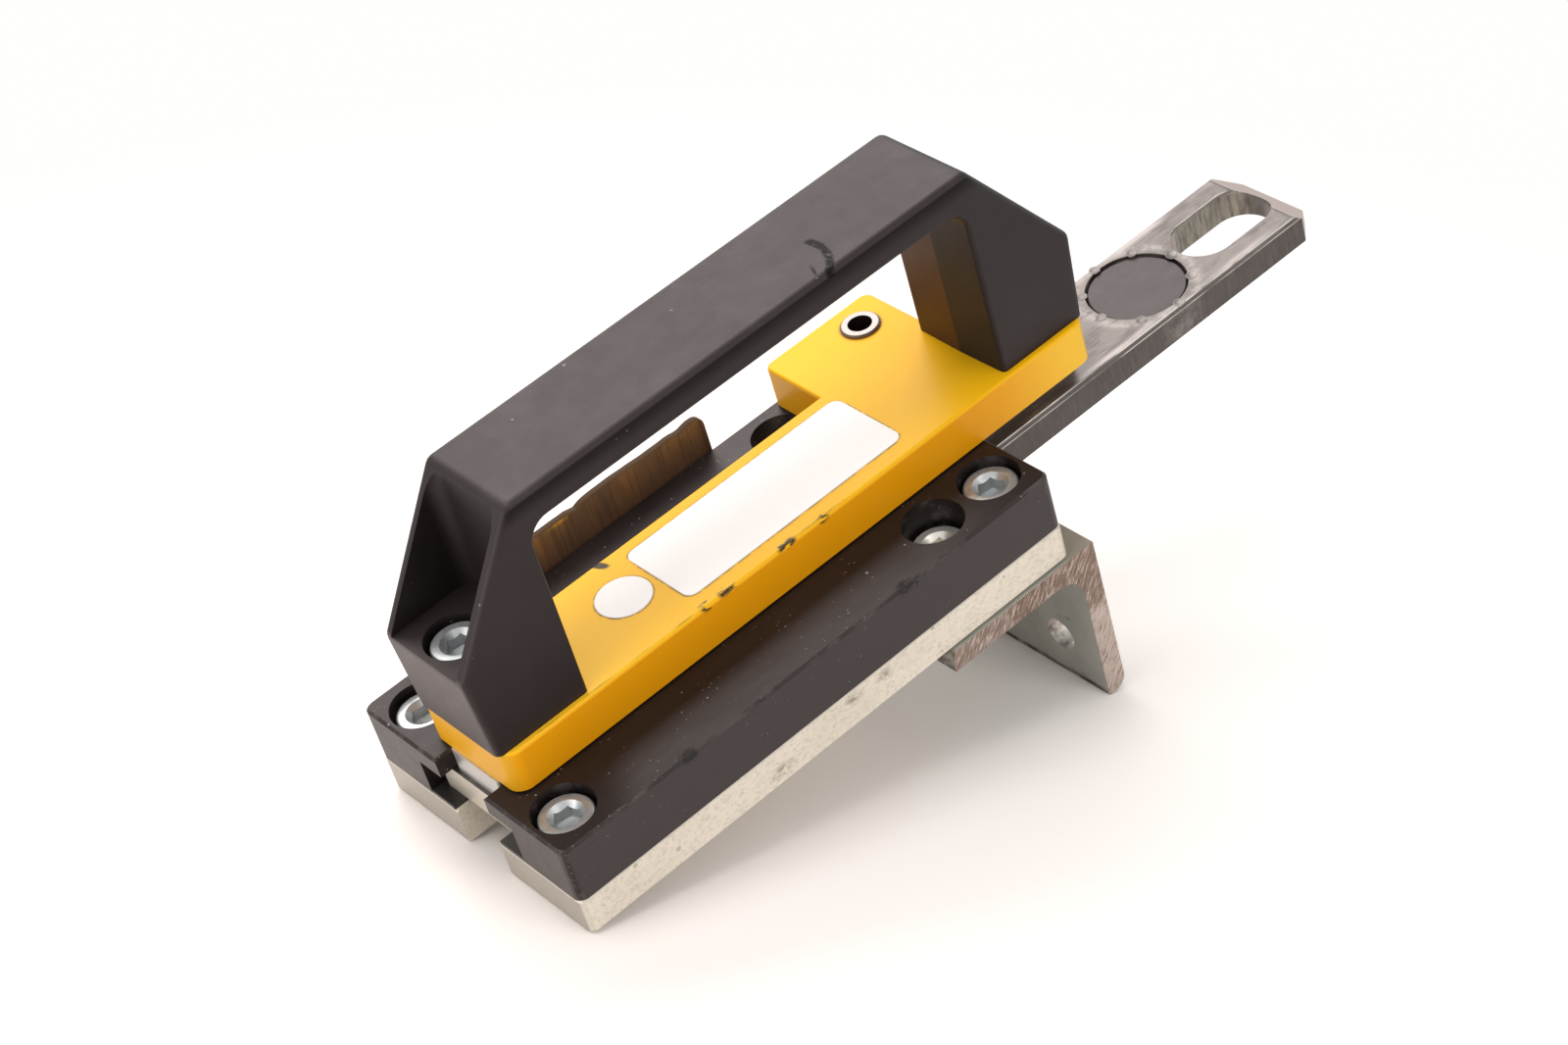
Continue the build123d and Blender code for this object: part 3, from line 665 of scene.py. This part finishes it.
def screw_head(x, y, seat):
    """A head whose every second upright edge is drawn in below the rounded rim, for the knurl."""
    sides = 72
    head = cylinder(x, y, seat + HEAD_HIGH / 2, HEAD_R, HEAD_HIGH, sides)
    start_edit(head)
    pick(head, "edges", lambda c, w: abs(w.z) < 0.1 and c.z > HEAD_HIGH / 2 - 0.1)
    bevel_picked(SCREW_EDGE, 3)
    pick(head, "verts", lambda c, w: c.z < HEAD_HIGH / 2 - 1.0
         and round(math.atan2(c.y, c.x) / math.tau * sides) % 2 == 0)
    draw_in(KNURL, x, y)
    end_edit()
    tools = socket_tools(x, y, seat + HEAD_HIGH)
    for tool in tools:
        cut = head.modifiers.new(tool.name, "BOOLEAN")
        cut.operation = "DIFFERENCE"
        cut.object = tool
    apply_modifiers(head)
    for tool in tools:
        bpy.data.objects.remove(tool)
    return head


def screw_shank(length, x, y, seat):
    """A shank whose rings of vertices go in and out by half the thread's pitch."""
    shank = cylinder(x, y, seat - length / 2, THREAD_R, length, 28)
    top = length / 2
    start_edit(shank)
    pick(shank, "edges", lambda c, w: abs(w.z) < 0.1 and c.z < 0.1 - top)
    bevel_picked(SCREW_EDGE)
    pick(shank, "edges", lambda c, w: abs(w.z) > 0.9)
    cuts = int((length - 2 * SCREW_EDGE) / THREAD_PITCH) * 2 - 1
    bpy.ops.mesh.subdivide(number_cuts=cuts)
    step = (length - SCREW_EDGE) / (cuts + 1)
    pick(shank, "verts", lambda c, w: c.z > SCREW_EDGE + 0.1 - top and round((top - c.z) / step) % 2 == 1
         and math.hypot(c.x, c.y) > THREAD_R - 0.5)
    draw_in(THREAD, x, y)
    end_edit()
    return shank


def cap_screw(length, x, y, seat):
    """A cap screw whose head sits on the given level."""
    screw = join([screw_head(x, y, seat), screw_shank(length, x, y, seat)], "cap_screw")
    smooth(screw, 28)
    return screw


FRONT_SCREWS = [(-RAIL_SCREW_X, -RAIL_SCREW_Y), (RAIL_SCREW_X, -RAIL_SCREW_Y)]
REAR_SCREWS = [(-RAIL_SCREW_X, RAIL_SCREW_Y), (RAIL_SCREW_X, RAIL_SCREW_Y)]
BRACKET_SCREWS = [(BRACKET_SCREW_X, -RAIL_SCREW_Y), (BRACKET_SCREW_X, RAIL_SCREW_Y)]
SCREWS = [
    ("front_rail_cap_screws", "base", "front_rail_screws", 12, RAIL_SEAT, FRONT_SCREWS),
    ("rear_rail_cap_screws", "base", "rear_rail_screws", 12, RAIL_SEAT, REAR_SCREWS),
    ("bracket_cap_screws", "base", "bracket_screws", 16, BASE_TOP, BRACKET_SCREWS),
    ("left_handle_cap_screw", "sled", "left_handle_screw", 40, HANDLE_SEAT, [(LEFT_SCREW_X, 0)]),
    ("right_handle_cap_screw", "sled", "right_handle_screw", 35, HANDLE_SEAT, [(RIGHT_SCREW_X, 0)]),
]
for name, body, node, length, seat, places in SCREWS:
    group = join([cap_screw(length, x, y, seat) for x, y in places], name)
    settle(group, body, ZINC, [node])


# Guard strip with its worn, wavy top edge
def guard_strip():
    left, right, thick, low, high = -57.0, 33.0, 2.0, 2.0, 35.0
    strip = box((left + right) / 2, RAIL_SIDE + thick / 2, (low + high) / 2, right - left, thick, high - low)
    start_edit(strip)
    pick(strip, "edges", lambda c, w: abs(w.y) > 0.9 and c.z > high - 5)
    bevel_picked(2.6, 5)
    pick(strip, "edges", lambda c, w: abs(w.x) > 0.99)
    bpy.ops.mesh.subdivide(number_cuts=63)
    mesh = bmesh.from_edit_mesh(strip.data)
    rows = {}
    for v in mesh.verts:
        if v.co.z > (high - 0.1) * MM and left + 3 < v.co.x / MM < right - 3:
            rows.setdefault(round(v.co.x / MM, 2), []).append(v)
    # Waves as length, height and start, dips as place, depth and half width
    waves = [(23.0, 0.10, 0.4), (37.0, 0.16, 1.1), (6.1, 0.03, 2.0)]
    dips = [(-5.6, 0.75, 1.5), (26.0, 0.55, 2.0)]
    for x, row in rows.items():
        bpy.ops.mesh.select_all(action="DESELECT")
        for v in row:
            v.select_set(True)
        mesh.select_flush_mode()
        lift = sum(tall * math.sin(2 * math.pi * x / long + start) for long, tall, start in waves)
        lift -= sum(deep * math.exp(-((x - at) / reach) ** 2) for at, deep, reach in dips)
        bpy.ops.transform.translate(value=(0, 0, lift * MM))
    end_edit()
    round_off = strip.modifiers.new("edges", "BEVEL")
    round_off.width = 0.25 * MM
    round_off.segments = 2
    apply_modifiers(strip)
    smooth(strip, 30)
    strip.name = "worn_guard_strip"
    settle(strip, "base", GUARD_FINISH, ["guard_strip"])


guard_strip()


# Blank label and round sticker on the carriage
def thin_sheet(sheet, name, rim):
    """Gives a sheet a raised middle inside a narrow rim and ties it to the sled."""
    pick(sheet, "faces", lambda c, w: w.z > 0.9)
    step_picked(rim, 0.05)
    end_edit()
    sheet.name = name
    settle(sheet, "sled", PAPER)


label = box(LABEL_X, LABEL_Y, PLATE_TOP + SHEET_THICK / 2, LABEL_LONG, LABEL_WIDE, SHEET_THICK)
start_edit(label)
pick(label, "edges", lambda c, w: abs(w.z) > 0.9)
bevel_picked(LABEL_CORNER, 8)
thin_sheet(label, "blank_label", 0.12)
sticker = cylinder(STICKER_X, STICKER_Y, PLATE_TOP + SHEET_THICK / 2, STICKER_R, SHEET_THICK, 64)
start_edit(sticker)
thin_sheet(sticker, "round_sticker", 0.15)


# Stake marks: bar metal pressed over the rim of the disc, each with a shallow hollow
def stake_marks(count=8):
    marks = []
    for i in range(count):
        turn = math.radians(360 / count * i + 5)
        x, y = DISC_X + STAKE_RING * math.cos(turn), STAKE_RING * math.sin(turn)
        mark = cylinder(x, y, BAR_TOP - 0.09, STAKE_R, 0.3, 20)
        start_edit(mark)
        pick(mark, "faces", lambda c, w: w.z > 0.9)
        step_picked(0.15, 0.04)
        step_picked(0.2, -0.09)
        end_edit()
        marks.append(mark)
    group = join(marks, "stake_marks")
    smooth(group, 50)
    settle(group, "sled", BAR_FINISH)


stake_marks()


# Floor: the part rests on the base's near end and on the bracket's foot, so the table leans in its frame
def table_floor():
    low, high = Vector((ANGLE_FOOT[0], 0, ANGLE_FOOT[1])), Vector((-BASE_END, 0, 0))
    along = (low - high).normalized()
    lean = math.atan2(-along.z, along.x)
    bpy.ops.mesh.primitive_plane_add(size=1)
    floor = bpy.context.object
    floor.name = "table_top"
    side, gap = 1.6, 0.15
    floor.data.transform(Matrix.Scale(side, 4))
    floor.data.transform(Matrix.Translation((0, 0, -gap * MM)))
    floor.data.transform(Euler((0, lean, 0)).to_matrix().to_4x4())
    floor.data.transform(Matrix.Translation((low + high) / 2 * MM))
    floor.data.materials.append(pale_table())


def pale_table():
    """Pale and dull near the part, and fading out into the white around it."""
    mat = bpy.data.materials.new("pale_table")
    mat.use_nodes = True
    tree = mat.node_tree
    shader = tree.nodes["Principled BSDF"]
    shader.inputs["Base Color"].default_value = (0.93, 0.90, 0.885, 1)
    shader.inputs["Roughness"].default_value = 0.55
    shader.inputs["Specular IOR Level"].default_value = 0.2
    coord = tree.nodes.new("ShaderNodeTexCoord")
    far = tree.nodes.new("ShaderNodeVectorMath")
    far.operation = "LENGTH"
    tree.links.new(coord.outputs["Object"], far.inputs[0])
    fade = tree.nodes.new("ShaderNodeMapRange")
    fade.interpolation_type = "SMOOTHSTEP"
    fade.inputs["From Min"].default_value = 0.14
    fade.inputs["From Max"].default_value = 0.40
    tree.links.new(far.outputs["Value"], fade.inputs["Value"])
    clear = tree.nodes.new("ShaderNodeBsdfTransparent")
    blend = tree.nodes.new("ShaderNodeMixShader")
    tree.links.new(fade.outputs["Result"], blend.inputs[0])
    tree.links.new(shader.outputs[0], blend.inputs[1])
    tree.links.new(clear.outputs[0], blend.inputs[2])
    tree.links.new(blend.outputs[0], tree.nodes["Material Output"].inputs["Surface"])
    return mat


table_floor()


# World: white to the camera and in reflections, softer and warmer as a light
def studio_world():
    world = bpy.data.worlds.new("studio")
    bpy.context.scene.world = world
    world.use_nodes = True
    tree = world.node_tree
    seen = tree.nodes["Background"]
    seen.inputs["Color"].default_value = (1, 0.997, 0.985, 1)
    seen.inputs["Strength"].default_value = 1.0
    light = tree.nodes.new("ShaderNodeBackground")
    light.inputs["Color"].default_value = (1, 0.985, 0.97, 1)
    light.inputs["Strength"].default_value = 0.54
    path = tree.nodes.new("ShaderNodeLightPath")
    in_view = path.outputs["Is Camera Ray"]
    for kind in ("Is Glossy Ray", "Is Transmission Ray"):
        either = tree.nodes.new("ShaderNodeMath")
        either.operation = "MAXIMUM"
        tree.links.new(in_view, either.inputs[0])
        tree.links.new(path.outputs[kind], either.inputs[1])
        in_view = either.outputs[0]
    mix = tree.nodes.new("ShaderNodeMixShader")
    tree.links.new(in_view, mix.inputs[0])
    tree.links.new(light.outputs[0], mix.inputs[1])
    tree.links.new(seen.outputs[0], mix.inputs[2])
    tree.links.new(mix.outputs[0], tree.nodes["World Output"].inputs["Surface"])


def lamp(name, place, size, watts):
    """A square softbox that looks at the middle of the part."""
    data = bpy.data.lights.new(name, "AREA")
    data.size = size
    data.energy = watts
    data.color = (1.0, 0.955, 0.92)
    obj = bpy.data.objects.new(name, data)
    bpy.context.scene.collection.objects.link(obj)
    obj.location = place
    aim = Vector((0.02, 0, 0.03)) - Vector(place)
    obj.rotation_euler = aim.to_track_quat("-Z", "Y").to_euler()


studio_world()
lamp("back_softbox", (0.36, 0.66, 0.66), 0.75, 7.0)
lamp("front_softbox", (0.25, -0.80, 0.40), 0.6, 2.2)
lamp("left_softbox", (-0.85, -0.05, 0.30), 0.6, 3.8)
lamp("top_softbox", (-0.10, 0.05, 0.95), 0.6, 4.7)


# Camera, at the photograph's place and angle
lens = bpy.data.cameras.new("photo_camera")
lens.sensor_width = 36.0
lens.lens = 82.30
camera = bpy.data.objects.new("photo_camera", lens)
bpy.context.scene.collection.objects.link(camera)
camera.location = (-0.284508, -0.542988, 0.539739)
camera.rotation_euler = Euler([math.radians(a) for a in (49.30575, 13.36221, -40.85096)], "XYZ")
bpy.context.scene.camera = camera
bpy.context.scene.view_settings.view_transform = "Standard"
